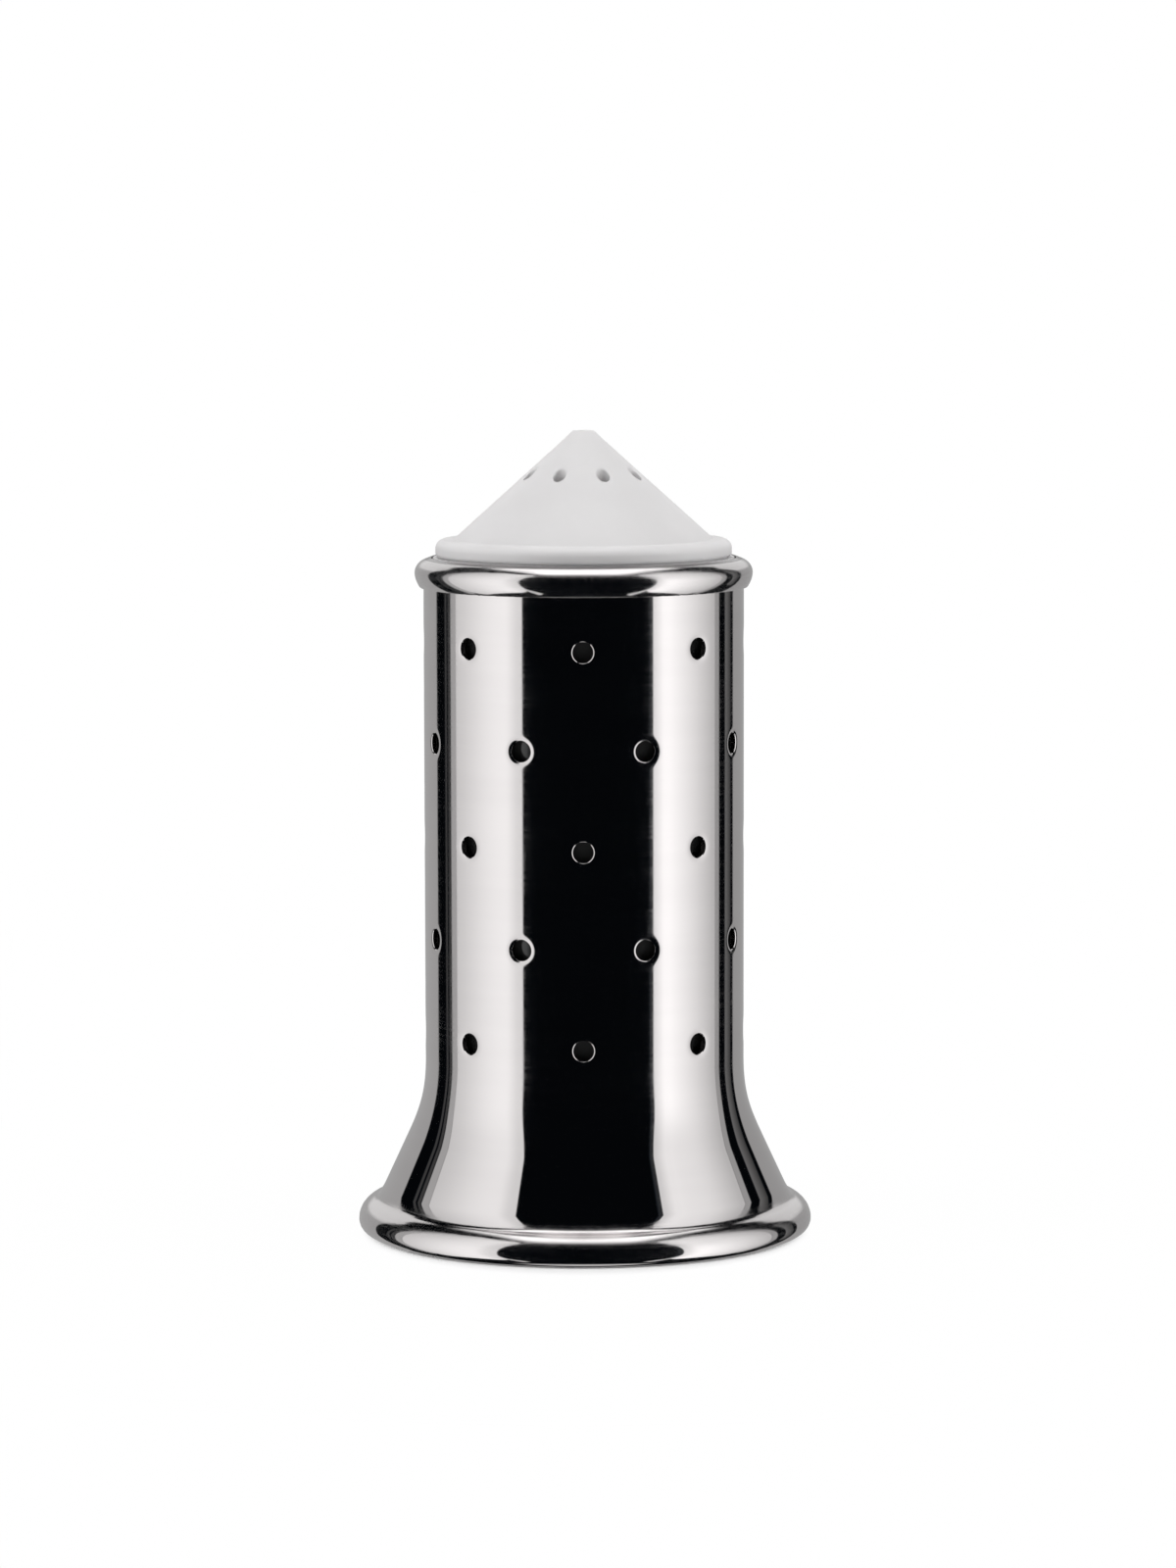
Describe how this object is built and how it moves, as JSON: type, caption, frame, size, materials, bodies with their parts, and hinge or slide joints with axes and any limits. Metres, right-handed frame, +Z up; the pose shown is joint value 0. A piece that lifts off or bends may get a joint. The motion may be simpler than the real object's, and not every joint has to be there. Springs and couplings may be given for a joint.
{
  "type": "salt shaker",
  "caption": "Polished steel salt shaker: perforated tube with a flared, beaded foot, a rolled collar, a dark inner container and a white cone cap with salt holes that screws off.",
  "frame": {"origin": "on the vertical axis, at the surface the foot stands on", "axes": "+Z up along the axis of the sleeve, towards the cap's tip; -Y towards the viewer of the picture"},
  "size_m": [0.0568, 0.0568, 0.0999],
  "materials": {
    "polished_steel": "polished",
    "screw_steel": "satin",
    "dark_plastic": "satin",
    "white_plastic": "satin",
    "seal_rubber": "matte"
  },
  "bodies": {
    "shell": {"sleeve": "polished_steel", "collar": "polished_steel", "container": "dark_plastic", "base_disc": "dark_plastic", "base_screw": "screw_steel"},
    "seal": {"seal_ring": "seal_rubber"},
    "cap": {"cap": "white_plastic"}
  },
  "joints": [
    {"name": "cap_rise", "type": "slide", "parent": "shell", "child": "seal", "axis": [0, 0, 1], "range_m": [0, 0.008]},
    {"name": "cap_turn", "type": "hinge", "parent": "seal", "child": "cap", "pos_m": [0, 0, 0.084], "axis": [0, 0, 1], "range_deg": [0, 720]}
  ],
  "couplings": [
    {"joint": "cap_rise", "follows": "cap_turn", "m_per_rad": 0.00063662}
  ]
}
